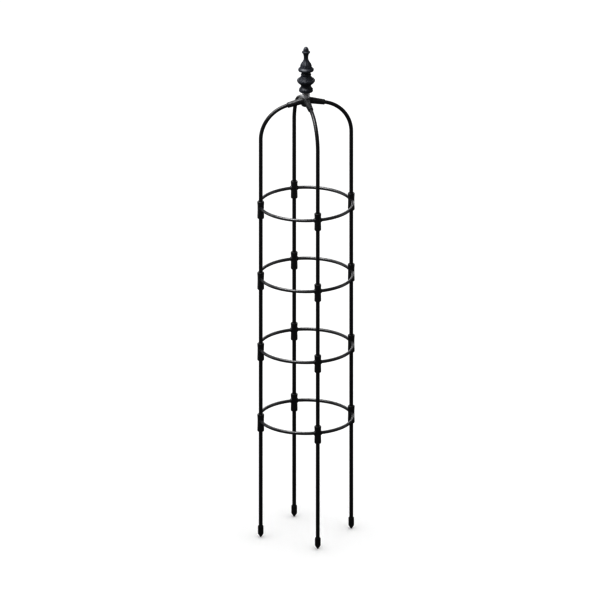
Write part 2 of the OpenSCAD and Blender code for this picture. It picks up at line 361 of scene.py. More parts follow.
def skin(name, grid, closed=False, grain=None):
    """A mesh over rows of points. A closed grid joins its last row to its first; otherwise the
    first and last rows have no size and become single points."""
    rows, columns = grid.shape[:2]
    if closed:
        index = np.arange(rows * columns).reshape(rows, columns)
        points = grid.reshape(-1, 3)
        index = np.vstack([index, index[:1]])
    else:
        inner = grid[1:-1].reshape(-1, 3)
        points = np.vstack([grid[:1, 0], inner, grid[-1:, 0]])
        index = np.arange(1, len(inner) + 1).reshape(rows - 2, columns)
        index = np.vstack([np.zeros((1, columns), int), index, np.full((1, columns), len(points) - 1)])
    ahead = np.roll(index, -1, axis=1)
    quads = np.stack([index[:-1], ahead[:-1], ahead[1:], index[1:]], axis=2)
    if closed:
        faces = quads.reshape(-1, 4).tolist()
    else:
        faces = quads[1:-1].reshape(-1, 4).tolist()
        faces += quads[0][:, 1:].tolist()
        faces += quads[-1][:, :3].tolist()
    mesh = bpy.data.meshes.new(name)
    mesh.from_pydata(points.tolist(), [], faces)
    if grain is not None:
        store_grain(mesh, grain.reshape(-1, 3))
    face_outward(mesh)
    return mesh


def store_grain(mesh, values):
    """Keeps a vector at each point, for finishes that run along a piece."""
    attribute = mesh.attributes.new(GRAIN, "FLOAT_VECTOR", "POINT")
    attribute.data.foreach_set("vector", np.asarray(values, np.float32).ravel())


def face_outward(mesh):
    """Turns every face of a closed mesh outward."""
    shell = bmesh.new()
    shell.from_mesh(mesh)
    bmesh.ops.recalc_face_normals(shell, faces=shell.faces)
    shell.to_mesh(mesh)
    shell.free()


def smooth(mesh, crease=40):
    """Smooth shading, with edges sharper than crease degrees kept crisp."""
    mesh.polygons.foreach_set("use_smooth", [True] * len(mesh.polygons))
    mesh.set_sharp_from_angle(angle=math.radians(crease))


def settled(mesh, *modifiers, tools=()):
    """The mesh after a list of (type, settings) modifiers. tools are meshes that they may use."""
    scene = bpy.context.scene
    body = bpy.data.objects.new("bench", mesh)
    helpers = [bpy.data.objects.new("bench_tool", tool) for tool in tools]
    for thing in (body, *helpers):
        scene.collection.objects.link(thing)
    for kind, settings in modifiers:
        modifier = body.modifiers.new(kind, kind)
        for key, value in settings.items():
            setattr(modifier, key, value)
    for helper in helpers:
        cut = body.modifiers.new("cut", "BOOLEAN")
        cut.solver = "EXACT"
        cut.operation = "DIFFERENCE"
        cut.object = helper
    graph = bpy.context.evaluated_depsgraph_get()
    result = bpy.data.meshes.new_from_object(body.evaluated_get(graph))
    for thing in (body, *helpers):
        bpy.data.objects.remove(thing)
    return result


def joined(name, meshes):
    """One mesh that holds all of the meshes."""
    shell = bmesh.new()
    for mesh in meshes:
        shell.from_mesh(mesh)
    whole = bpy.data.meshes.new(name)
    shell.to_mesh(whole)
    shell.free()
    return whole


def place(node, mesh, finish, slot, body="frame"):
    """Puts a mesh on the stage as the piece that stands for a node."""
    mesh.name = node
    smooth(mesh)
    mesh.materials.clear()
    mesh.materials.append(finish)
    piece = bpy.data.objects.new(node + "_piece", mesh)
    bpy.context.scene.collection.objects.link(piece)
    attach(piece, body)
    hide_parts(node)
    return piece


# ---- Paths --------------------------------------------------------------------------------


def at_leg(leg):
    """The place of a leg on the ground, with +X pointing away from the centre line."""
    return Matrix.Rotation(leg_turn(leg), 4, "Z") @ Matrix.Translation((CAGE_R, 0, 0))


def stacked(x, y, z):
    """Rows of vectors. A single number stands for a whole column."""
    return np.column_stack(np.broadcast_arrays(x, y, z))


def turned_about_z(points, angle):
    """Vectors turned about the Z axis."""
    cos, sin = math.cos(angle), math.sin(angle)
    x, y, z = points.T
    return stacked(x * cos - y * sin, x * sin + y * cos, z)


def leg_path(leg, low):
    """The straight path up a leg, from a height."""
    angle = leg_turn(leg)

    def path(along):
        vectors = (stacked(CAGE_R, 0, low + along), stacked(1, 0, 0), stacked(0, 1, 0))
        return tuple(turned_about_z(rows, angle) for rows in vectors)

    return path


def arch_path(leg):
    """The path of an arch tube up from the top ring and over into the hub, its length, and how
    far along it the straight end starts."""
    angle = leg_turn(leg)
    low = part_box("arch_tube_" + leg)[0].z
    bend_angle = math.pi / 2 - ARM_SLOPE
    bend_end = ARM_REACH + ARM_SHOW
    bend_r = (CAGE_R - bend_end) / (1 - math.cos(bend_angle))
    spring = CROWN_Z - bend_r * math.sin(bend_angle) - bend_end * math.tan(ARM_SLOPE)
    rise = spring - low
    end_start = rise + bend_r * bend_angle
    total = end_start + (bend_end - HUB_R - ARM_STOP) / math.cos(ARM_SLOPE)

    def path(along):
        turn = np.clip((along - rise) / bend_r, 0, bend_angle)
        before = np.minimum(along, rise)
        after = np.maximum(along - end_start, 0)
        cos, sin = np.cos(turn), np.sin(turn)
        centre = stacked(
            CAGE_R - bend_r * (1 - cos) - after * sin, 0, low + before + bend_r * sin + after * cos
        )
        return tuple(turned_about_z(rows, angle) for rows in (centre, stacked(cos, 0, sin), stacked(0, 1, 0)))

    return path, total, end_start


def ring_path(centre_height, start):
    """The path round a ring from an angle, measured along its centreline."""

    def path(along):
        turn = start + along / CAGE_R
        side, up = stacked(np.cos(turn), np.sin(turn), 0), stacked(0, 0, 1)
        return CAGE_R * side + centre_height * up, side, up

    return path


# ---- Tubes --------------------------------------------------------------------------------


def tube_section(total, radius, wall, gap):
    """The (distance, radius) section of an open tube, out along the outside and back inside."""
    burr = wall / 4
    outside = divided(np.array([[burr, radius], [total - burr, radius]]), gap)
    inside = divided(np.array([[total - burr, radius - wall], [burr, radius - wall]]), gap)
    far_end = [[total, radius - burr], [total, radius - wall + burr]]
    near_end = [[0, radius - wall + burr], [0, radius - burr]]
    return np.vstack([outside, far_end, inside, near_end])


def tube_mesh(name, path, section, seed):
    """A tube along a path. Its grain runs along it and starts somewhere new for each seed."""
    turn = np.linspace(0, 2 * math.pi, TUBE_COLUMNS, endpoint=False)
    along = np.repeat(section[:, :1], TUBE_COLUMNS, axis=1) + seed * 1.37
    radius = section[:, 1:]
    grain = np.stack([radius * np.cos(turn), radius * np.sin(turn), along], axis=2)
    return skin(name, swept(path, section, TUBE_COLUMNS), closed=True, grain=grain)


# ---- Finishes -----------------------------------------------------------------------------


class Bench:
    """Adds and links the nodes of one finish."""

    def __init__(self, name):
        self.material = bpy.data.materials.new(name)
        self.material.use_nodes = True
        self.tree = self.material.node_tree
        self.tree.nodes.clear()
        self.made = 0

    def add(self, kind, inputs=None, **settings):
        """A new node with its settings, and its inputs set or linked."""
        node = self.tree.nodes.new(kind)
        node.location = (240 * (self.made // 4), -280 * (self.made % 4))
        self.made += 1
        for key, value in settings.items():
            setattr(node, key, value)
        for key, value in (inputs or {}).items():
            self.feed(node.inputs[key], value)
        return node

    def feed(self, socket, value):
        """Links a socket to another, or sets its value."""
        if isinstance(value, bpy.types.NodeSocket):
            self.tree.links.new(value, socket)
        else:
            socket.default_value = value

    def math(self, operation, first, second):
        """The result of one sum."""
        return self.add("ShaderNodeMath", {0: first, 1: second}, operation=operation).outputs[0]

    def ranged(self, value, low, high, new_low=0.0, new_high=1.0):
        """A value moved from one range to another, and held inside it."""
        inputs = {"Value": value, "From Min": low, "From Max": high, "To Min": new_low, "To Max": new_high}
        return self.add("ShaderNodeMapRange", inputs).outputs[0]

    def blend(self, factor, first, second):
        """A mix of two colours."""
        node = self.add("ShaderNodeMix", data_type="RGBA")
        self.feed(node.inputs[0], factor)
        self.feed(node.inputs[6], first)
        self.feed(node.inputs[7], second)
        return node.outputs[2]

    def room(self):
        """Places in the piece's own space."""
        return self.add("ShaderNodeTexCoord").outputs["Object"]

    def upright(self, vectors):
        """How far up each vector reaches."""
        return self.add("ShaderNodeSeparateXYZ", {0: vectors}).outputs["Z"]

    def mottled(self, patches, colour, dark, light):
        """A colour that soft noise moves between a darker and a lighter shade."""
        return self.blend(patches, rgba(colour, dark), rgba(colour, light))

    def over(self, base, share, most, colour):
        """A colour laid over another, by share times most."""
        return self.blend(self.math("MULTIPLY", share, most), base, colour)

    def uneven(self, patches, low, high, middle):
        """A value that soft noise moves off its middle, by low to high."""
        return self.math("ADD", self.ranged(patches, 0.3, 0.7, low, high), middle)

    def noise(self, place, scale, detail=2.0, roughness=0.5):
        """Soft noise from 0 to 1."""
        inputs = {"Vector": place, "Scale": scale, "Detail": detail, "Roughness": roughness}
        return self.add("ShaderNodeTexNoise", inputs).outputs[0]

    def stretched(self, place, scale):
        """Coordinates scaled along each axis."""
        return self.add("ShaderNodeMapping", {"Vector": place, "Scale": scale}).outputs[0]

    def bump(self, height, distance, strength=1.0, under=None):
        """A normal from a height in units of distance."""
        node = self.add("ShaderNodeBump", {"Height": height, "Distance": distance, "Strength": strength})
        if under is not None:
            self.tree.links.new(under, node.inputs["Normal"])
        return node.outputs[0]

    def shader(self, base, roughness, normal, **fixed):
        """The surface, with fixed numbers set on the shader's own sockets."""
        inputs = {"Base Color": base, "Roughness": roughness, "Normal": normal}
        surface = self.add("ShaderNodeBsdfPrincipled", inputs)
        for key, value in fixed.items():
            surface.inputs[key.replace("_", " ")].default_value = value
        output = self.add("ShaderNodeOutputMaterial")
        self.tree.links.new(surface.outputs[0], output.inputs[0])
        return self.material


def rgba(value, scale=1.0):
    """A colour with an alpha of one."""
    return (*(channel * scale for channel in value), 1.0)


def coated_finish(name, finishes, gloss=0.4, painted_light_tint=1.0):
    """Black plastic drawn over a steel tube: fine lines along it, a soft orange peel, light scuffs.
    gloss is the shader's specular level, and the last factor lightens the coating's colour as painted light:
    the rings take a lighter copy of it, standing for the overhead light that their level tubes catch."""
    bench = Bench(name)
    grain = bench.add("ShaderNodeAttribute", attribute_name=GRAIN).outputs["Vector"]
    room = bench.room()
    facing = bench.add("ShaderNodeNewGeometry").outputs["Normal"]
    upward = bench.upright(facing)
    lines = bench.noise(bench.stretched(grain, (1.0, 1.0, 0.02)), 900.0, 3.0, 0.6)
    peel = bench.noise(grain, 1500.0, 2.0)
    patches = bench.noise(room, 16.0, 4.0, 0.6)
    scuffs = bench.noise(bench.stretched(grain, (1.0, 1.0, 0.25)), 420.0, 5.0, 0.7)
    scuffed = bench.ranged(scuffs, 0.62, 0.74)
    dusty = bench.math("MULTIPLY", bench.ranged(upward, 0.2, 1.0), bench.ranged(patches, 0.35, 0.75))
    # Painted light: the colour is scaled by the last factor, which the rings set above one for a lighter,
    # lit-looking copy of the coating.
    base = bench.mottled(patches, finishes.coat_colour, 0.75 * painted_light_tint, 1.35 * painted_light_tint)
    base = bench.over(base, scuffed, 0.35, rgba(finishes.coat_colour, 4.0))
    base = bench.over(base, dusty, 0.07, rgba(finishes.dust_colour))
    level = bench.uneven(patches, -0.05, 0.06, finishes.coat_roughness)
    level = bench.math("ADD", level, bench.math("MULTIPLY", scuffed, 0.12))
    height = bench.math("ADD", bench.math("MULTIPLY", lines, 0.5), peel)
    normal = bench.bump(height, 0.015 * MM)
    return bench.shader(base, level, normal, Specular_IOR_Level=gloss)


def moulded_finish(name, finishes, dust=0.10):
    """Moulded black plastic: fine spark texture, paler edges that are partly wear and partly a painted
    highlight, a little dust in the hollows, and pale upward faces that are partly real dust and partly a
    painted highlight on the lips.
    """
    bench = Bench(name)
    room = bench.room()
    shape = bench.add("ShaderNodeNewGeometry")
    upward = bench.upright(shape.outputs["Normal"])
    edges = bench.ranged(shape.outputs["Pointiness"], 0.52, 0.60)
    hollows = bench.ranged(shape.outputs["Pointiness"], 0.48, 0.42)
    texture = bench.noise(room, 2600.0, 3.0, 0.6)
    waves = bench.noise(room, 240.0, 2.0)
    patches = bench.noise(room, 60.0, 4.0, 0.6)
    worn = bench.math("MULTIPLY", edges, bench.ranged(patches, 0.3, 0.65, 0.25, 1.0))
    dusty = bench.math("MULTIPLY", bench.ranged(upward, 0.0, 1.0), bench.ranged(patches, 0.4, 0.7))
    dusty = bench.math("MAXIMUM", dusty, hollows)
    base = bench.mottled(patches, finishes.plastic_colour, 0.7, 1.4)
    # Paler edges: partly wear, partly a painted highlight on the lips.
    base = bench.over(base, worn, 0.5, rgba(finishes.plastic_colour, 4.5))
    # The hollows take the pale colour as dust; on upward faces it is partly dust and partly a painted
    # highlight on the lips.
    base = bench.over(base, dusty, dust, rgba(finishes.dust_colour))
    level = bench.uneven(patches, -0.05, 0.08, finishes.plastic_roughness)
    level = bench.math("SUBTRACT", level, bench.math("MULTIPLY", worn, 0.08))
    normal = bench.bump(texture, 0.03 * MM)
    normal = bench.bump(waves, 0.06 * MM, 0.6, normal)
    return bench.shader(base, level, normal, Specular_IOR_Level=0.45)


def spike_finish(name, finishes):
    """Harder black plastic, scratched up and down by the soil, with paler edges that are partly wear and
    partly a painted highlight on the top lip.
    """
    bench = Bench(name)
    room = bench.room()
    shape = bench.add("ShaderNodeNewGeometry")
    height = bench.upright(room)
    edges = bench.ranged(shape.outputs["Pointiness"], 0.515, 0.58)
    texture = bench.noise(room, 2200.0, 2.0)
    patches = bench.noise(room, 90.0, 4.0, 0.6)
    scratches = bench.noise(bench.stretched(room, (1.0, 1.0, 0.04)), 1400.0, 3.0, 0.6)
    low_down = bench.ranged(height, 22 * MM, 2 * MM)
    scraped = bench.math("MULTIPLY", bench.ranged(scratches, 0.56, 0.68), low_down)
    # The edge term pales the top lip: partly wear, partly a painted highlight.
    worn = bench.math("MAXIMUM", bench.math("MULTIPLY", edges, 0.6), scraped)
    base = bench.mottled(patches, finishes.plastic_colour, 0.6, 1.2)
    base = bench.over(base, worn, 0.45, rgba(finishes.plastic_colour, 5.0))
    level = bench.uneven(patches, -0.04, 0.08, finishes.plastic_roughness)
    level = bench.math("ADD", level, bench.math("MULTIPLY", scraped, 0.15))
    normal = bench.bump(texture, 0.02 * MM)
    normal = bench.bump(bench.math("MULTIPLY", scratches, low_down), 0.08 * MM, 1.0, normal)
    return bench.shader(base, level, normal, Specular_IOR_Level=0.45)


def resin_finish(name, finishes):
    """Cast resin, painted bluish black, with pale dust rubbed off its edges, and painted shade darkening its
    hollows.
    """
    bench = Bench(name)
    room = bench.room()
    shape = bench.add("ShaderNodeNewGeometry")
    upward = bench.upright(shape.outputs["Normal"])
    edges = bench.ranged(shape.outputs["Pointiness"], 0.515, 0.57)
    hollows = bench.ranged(shape.outputs["Pointiness"], 0.485, 0.43)
    grit = bench.noise(room, 1500.0, 4.0, 0.65)
    dimples = bench.noise(room, 420.0, 3.0)
    patches = bench.noise(room, 45.0, 5.0, 0.6)
    worn = bench.math("MULTIPLY", edges, bench.ranged(patches, 0.3, 0.6, 0.3, 1.0))
    dusted = bench.ranged(patches, 0.25, 0.75, 0.4, 1.0)
    dusty = bench.math("MULTIPLY", bench.ranged(upward, -0.1, 0.9), dusted)
    base = bench.mottled(patches, finishes.resin_colour, 0.75, 1.3)
    # Painted shade: the hollows are darkened towards a quarter of the resin colour.
    base = bench.over(base, hollows, 0.6, rgba(finishes.resin_colour, 0.25))
    base = bench.over(base, worn, 0.5, rgba(finishes.resin_colour, 2.2))
    base = bench.over(base, dusty, 0.05, rgba(finishes.dust_colour))
    level = bench.uneven(patches, -0.06, 0.08, finishes.resin_roughness)
    normal = bench.bump(grit, 0.03 * MM)
    normal = bench.bump(dimples, 0.08 * MM, 0.6, normal)
    return bench.shader(base, level, normal, Specular_IOR_Level=0.35)


def stem_finish(name, finishes):
    """Bare drawn metal: fine lines along it and a soft grey sheen."""
    bench = Bench(name)
    grain = bench.add("ShaderNodeAttribute", attribute_name=GRAIN).outputs["Vector"]
    lines = bench.noise(bench.stretched(grain, (1.0, 1.0, 0.01)), 1600.0, 4.0, 0.65)
    patches = bench.noise(grain, 70.0, 4.0, 0.6)
    base = bench.mottled(lines, finishes.stem_colour, 0.8, 1.2)
    base = bench.blend(bench.ranged(patches, 0.45, 0.75, 0.0, 0.4), base, rgba(finishes.stem_colour, 0.7))
    level = bench.uneven(lines, -0.06, 0.08, finishes.stem_roughness)
    normal = bench.bump(lines, 0.02 * MM)
    return bench.shader(base, level, normal, Metallic=0.6)


def floor_finish(name, finishes):
    """A plain pale floor with the faintest cloudiness."""
    bench = Bench(name)
    room = bench.room()
    clouds = bench.noise(room, 3.0, 4.0)
    tooth = bench.noise(room, 900.0, 2.0)
    base = bench.mottled(clouds, finishes.floor_colour, 0.99, 1.01)
    normal = bench.bump(tooth, 0.05 * MM)
    return bench.shader(base, 0.9, normal, Specular_IOR_Level=0.0)


# ---- Operators ----------------------------------------------------------------------------


class OBELISK_OT_stage(Operator):
    """Set up the pale floor, the soft lights, the surround and the camera"""

    bl_idname = "obelisk.stage"
    bl_label = "Stage"

    floor_radius = 40.0
    floor_drop = 0.2 * MM
    camera_distance = 6.0
    top_up, top_left, top_toward, top_aim_drop, top_size = 1.6, 0.9, 0.5, 0.5, 2.0
    side_out, side_up, side_width, side_height = 2.2, 0.3, 1.0, 2.6
    left_back, right_back = 0.4, 0.2
    back_out, back_up, back_width, back_height = 2.5, 1.0, 2.4, 2.8
    unlit = None

    def soft_light(self, name, place, aim, width, height, power):
        """An oblong soft light that faces a point and leaves the floor alone."""
        light = bpy.data.lights.new(name, "AREA")
        light.shape = "RECTANGLE"
        light.size = width
        light.size_y = height
        light.energy = power
        lamp = bpy.data.objects.new(name, light)
        lamp.location = place
        lamp.rotation_euler = (Vector(aim) - Vector(place)).to_track_quat("-Z", "Y").to_euler()
        lamp.visible_camera = False
        lamp.light_linking.receiver_collection = self.unlit
        bpy.context.scene.collection.objects.link(lamp)

    def execute(self, context):
        scene = context.scene
        stage = scene.obelisk_stage
        shell = bmesh.new()
        bmesh.ops.create_circle(shell, cap_ends=True, segments=96, radius=self.floor_radius)
        mesh = bpy.data.meshes.new("floor")
        shell.to_mesh(mesh)
        shell.free()
        mesh.materials.append(floor_finish("floor_finish", scene.obelisk_finishes))
        floor = bpy.data.objects.new("floor", mesh)
        floor.location.z = CAD_BOX[0].z - self.floor_drop
        floor.visible_glossy = False
        scene.collection.objects.link(floor)
        self.unlit = bpy.data.collections.new("unlit_by_lamps")
        self.unlit.objects.link(floor)
        self.unlit.collection_objects[0].light_linking.link_state = "EXCLUDE"

        turn = Matrix.Rotation(stage.azimuth, 3, "Z")
        right = turn @ Vector((1, 0, 0))
        toward = turn @ Vector((0, -1, 0))
        middle = Vector((0, 0, (CAD_BOX[0].z + CAD_BOX[1].z) / 2))
        top = Vector((0, 0, CAD_BOX[1].z))
        above = top + Vector((0, 0, self.top_up)) - right * self.top_left + toward * self.top_toward
        aim = top - Vector((0, 0, self.top_aim_drop))
        self.soft_light("top_light", above, aim, self.top_size, self.top_size, stage.top_power)
        side_up = Vector((0, 0, self.side_up))
        left = middle - right * self.side_out - toward * self.left_back + side_up
        self.soft_light("left_light", left, middle, self.side_width, self.side_height, stage.left_power)
        beside = middle + right * self.side_out - toward * self.right_back + side_up
        self.soft_light("right_light", beside, middle, self.side_width, self.side_height, stage.right_power)
        behind = middle - toward * self.back_out + Vector((0, 0, self.back_up))
        sizes = (self.back_width, self.back_height)
        self.soft_light("back_light", behind, behind + toward, *sizes, stage.back_power)

        world = bpy.data.worlds.new("surround")
        world.use_nodes = True
        background = world.node_tree.nodes["Background"]
        background.inputs["Color"].default_value = (1.0, 1.0, 1.0, 1.0)
        background.inputs["Strength"].default_value = stage.sky
        world.cycles_visibility.glossy = False
        scene.world = world
        scene.view_settings.view_transform = "Standard"
        scene.view_settings.gamma = stage.contrast

        camera = bpy.data.objects.new("camera", bpy.data.cameras.new("camera"))
        camera.data.type = "ORTHO"
        camera.data.ortho_scale = stage.frame_height
        back = toward * math.cos(stage.elevation) + Vector((0, 0, math.sin(stage.elevation)))
        aim = Vector((0, 0, stage.aim_height)) - right * stage.aim_left
        camera.location = aim + back * self.camera_distance
        camera.rotation_euler = (-back).to_track_quat("-Z", "Y").to_euler()
        scene.collection.objects.link(camera)
        scene.camera = camera
        return {"FINISHED"}


class OBELISK_OT_leg_tubes(Operator):
    """Build the straight leg tubes, between the rings and down to the spikes"""

    bl_idname = "obelisk.leg_tubes"
    bl_label = "Leg tubes"

    gap = 0.12

    def execute(self, context):
        finish = coated_finish("coated_leg_finish", context.scene.obelisk_finishes)
        nodes = [(f"{stem}_{leg}", leg) for stem in (*BAYS, "ground_tube") for leg in LEGS]
        for seed, (node, leg) in enumerate(nodes):
            low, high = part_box(node)
            section = tube_section(high.z - low.z, LEG_R, TUBE_WALL, self.gap)
            mesh = tube_mesh(node, leg_path(leg, low.z), section, seed)
            place(node, mesh, finish, "coated_tube")
        return {"FINISHED"}


class OBELISK_OT_arch_tubes(Operator):
    """Build the four tubes that rise from the top ring and bend over into the hub"""

    bl_idname = "obelisk.arch_tubes"
    bl_label = "Arch tubes"

    gap = 3.2 * MM

    def execute(self, context):
        finish = coated_finish("coated_arch_finish", context.scene.obelisk_finishes)
        for seed, leg in enumerate(LEGS):
            node = "arch_tube_" + leg
            path, total, end_start = arch_path(leg)
            section = tube_section(total, LEG_R, TUBE_WALL, self.gap)
            drawn = DRAWN_DOWN * fade(section[:, 0], end_start - 1 * MM, end_start + 1 * MM)
            section[:, 1] -= drawn
            mesh = tube_mesh(node, path, section, seed + 0.5)
            place(node, mesh, finish, "coated_tube")
        return {"FINISHED"}


class OBELISK_OT_ring_tubes(Operator):
    """Build the rings, four quarter tubes to each"""

    bl_idname = "obelisk.ring_tubes"
    bl_label = "Ring tubes"

    gap = 4 * MM

    def execute(self, context):
        # The rings get a lighter copy of the coating, as painted light for the overhead light that level
        # tubes catch.
        finish = coated_finish("coated_ring_painted_light_finish", context.scene.obelisk_finishes, gloss=0.85, painted_light_tint=2.2)
        length_of_quarter = CAGE_R * (math.pi / 2 - 2 * RING_STOP_TURN)
        for ring in RINGS:
            for seed, (leg, side) in enumerate(zip(LEGS, SIDES)):
                node = f"ring_{ring}_{side}"
                section = tube_section(length_of_quarter, RING_R, TUBE_WALL, self.gap)
                path = ring_path(RING_HEIGHTS[ring], leg_turn(leg) + RING_STOP_TURN)
                mesh = tube_mesh(node, path, section, seed + 4 * ring + 0.25)
                place(node, mesh, finish, "coated_ring")
        return {"FINISHED"}


class OBELISK_OT_connectors(Operator):
    """Build the moulded connectors where the rings meet the legs"""

    bl_idname = "obelisk.connectors"
    bl_label = "Connectors"

    gap = 0.7 * MM

    def outline(self, trim, low, high):
        """The connector's outline from the floor of its top socket round to that of its lower one."""
        lip_r = SOCKET_R + LIP_WALL
        waist_r = SOCKET_R + WAIST_WALL
        skirt_r = SOCKET_R + SKIRT_WALL
        web = RING_R + SOCKET_GAP + SOCKET_FLOOR
        edge = trim.edge
        bend = trim.skirt_round
        corners = [
            [0, web], [SOCKET_R, web], [SOCKET_R, high - LEAD_IN], [SOCKET_R + LEAD_IN, high - 0.2 * edge],
            [lip_r - edge, high], [lip_r, high - edge], [lip_r, high - 3 * edge], [waist_r, web],
            [waist_r, -web], [skirt_r, 0.75 * low], [skirt_r, low + bend],
            [skirt_r - 0.3 * bend, low + 0.3 * bend],
            [skirt_r - bend, low], [SOCKET_R + LEAD_IN, low], [SOCKET_R, low + LEAD_IN],
            [SOCKET_R, -web], [0, -web],
        ]
        return divided(eased(corners, edge), self.gap)

    def relief(self, trim):
        """Adds the collars round the ring tubes and the moulding seam to the connector's radius."""
        collar_r = RING_R + SOCKET_GAP + COLLAR_WALL
        collar_end = SOCKET_R + WAIST_WALL + COLLAR_OUT
        blend_width = 1.1 * MM

        def soft_least(first, second):
            spread = np.clip(0.5 + 0.5 * (second - first) / blend_width, 0, 1)
            return second + (first - second) * spread - blend_width * spread * (1 - spread)

        def added(radius, height, turn):
            outside = radius > SOCKET_R + LEAD_IN
            across = np.maximum(np.abs(np.cos(turn)), 1e-4)
            along = np.maximum(np.abs(np.sin(turn)), 1e-4)
            girth = np.sqrt(np.maximum(collar_r**2 - height**2, 0)) / across
            collar = soft_least(girth, collar_end / along)
            collar = np.where(np.abs(height) < collar_r, collar, 0)
            swell = -soft_least(-radius, -collar) - radius
            swell = np.where(np.abs(height) < collar_r + blend_width, swell, 0)
            seam_place = radius * np.sin(turn)
            seam = trim.seam_height * np.exp(-((seam_place / (trim.seam_width / 2)) ** 2))
            return np.where(outside, np.maximum(swell, seam), 0)

        return added

    def ring_socket(self, way):
        """What is cut for the end of one ring tube, with a small lead-in at its mouth."""
        collar_end = SOCKET_R + WAIST_WALL + COLLAR_OUT
        socket_r = RING_R + SOCKET_GAP
        ease = 0.6 * MM
        past = collar_end + 6 * ease
        section = [
            [RING_STOP / 2, 0], [RING_STOP / 2, socket_r], [collar_end - ease, socket_r],
            [collar_end + ease, socket_r + 2 * ease], [past, socket_r + 2 * ease], [past, 0],
        ]

        def path(along):
            turn = way * along / CAGE_R
            side = stacked(np.cos(turn), np.sin(turn), 0)
            return CAGE_R * side - np.array([CAGE_R, 0, 0]), side, stacked(0, 0, 1)

        section = divided(np.array(section), 2 * MM)
        return skin("ring_socket", swept(path, section, TUBE_COLUMNS))

    def execute(self, context):
        scene = context.scene
        trim = scene.obelisk_trim
        finish = moulded_finish("connector_finish", scene.obelisk_finishes)
        low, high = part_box("connector_1_front_left")
        height = RING_HEIGHTS[1]
        outline = self.outline(trim, low.z - height, high.z - height)
        solid = skin("connector", turned(outline, CONNECTOR_COLUMNS, self.relief(trim)))
        master = settled(solid, tools=[self.ring_socket(1), self.ring_socket(-1)])
        for ring in RINGS:
            for leg in LEGS:
                mesh = master.copy()
                mesh.transform(Matrix.Translation((0, 0, RING_HEIGHTS[ring])) @ at_leg(leg))
                place(f"connector_{ring}_{leg}", mesh, finish, "moulded_black")
        return {"FINISHED"}


class OBELISK_OT_spikes(Operator):
    """Build the ribbed, pointed spikes that push into the ground"""

    bl_idname = "obelisk.spikes"
    bl_label = "Spikes"

    gap = 0.7 * MM

    def execute(self, context):
        scene = context.scene
        trim = scene.obelisk_trim
        finish = spike_finish("spike_finish", scene.obelisk_finishes)
        low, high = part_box("spike_front_left")
        radius = (high.x - low.x) / 2
        top = high.z
        shoulder = (radius - SOCKET_R) / 3
        seat = SPIKE_POINT + SPIKE_FLOOR
        corners = [
            [0, low.z], [SPIKE_TIP_R, low.z], [radius, SPIKE_POINT], [radius, top - 2 * shoulder],
            [radius - shoulder, top], [SOCKET_R + LEAD_IN, top - 0.3 * shoulder],
            [SOCKET_R, top - LEAD_IN - 0.3 * shoulder], [SOCKET_R, seat], [0, seat],
        ]
        outline = divided(eased(corners, 0.9 * MM), self.gap)

        def ribs(radii, heights, turn):
            share_up = fade(heights, 0.35 * SPIKE_POINT, 1.2 * SPIKE_POINT)
            share_up = share_up * (1 - fade(heights, top - 4 * shoulder, top - 2.5 * shoulder))
            outside = fade(radii, SOCKET_R, SOCKET_R + 2 * MM)
            outside = outside + fade(-heights, -SPIKE_POINT, -0.8 * SPIKE_POINT)
            groove = np.abs(np.sin(trim.spike_ribs * turn / 2)) ** 1.5
            return -trim.spike_rib_depth * share_up * np.clip(outside, 0, 1) * groove

        master = skin("spike", turned(outline, SPIKE_COLUMNS, ribs))
        for leg in LEGS:
            mesh = master.copy()
            mesh.transform(at_leg(leg))
            place("spike_" + leg, mesh, finish, "spike_black")
        return {"FINISHED"}


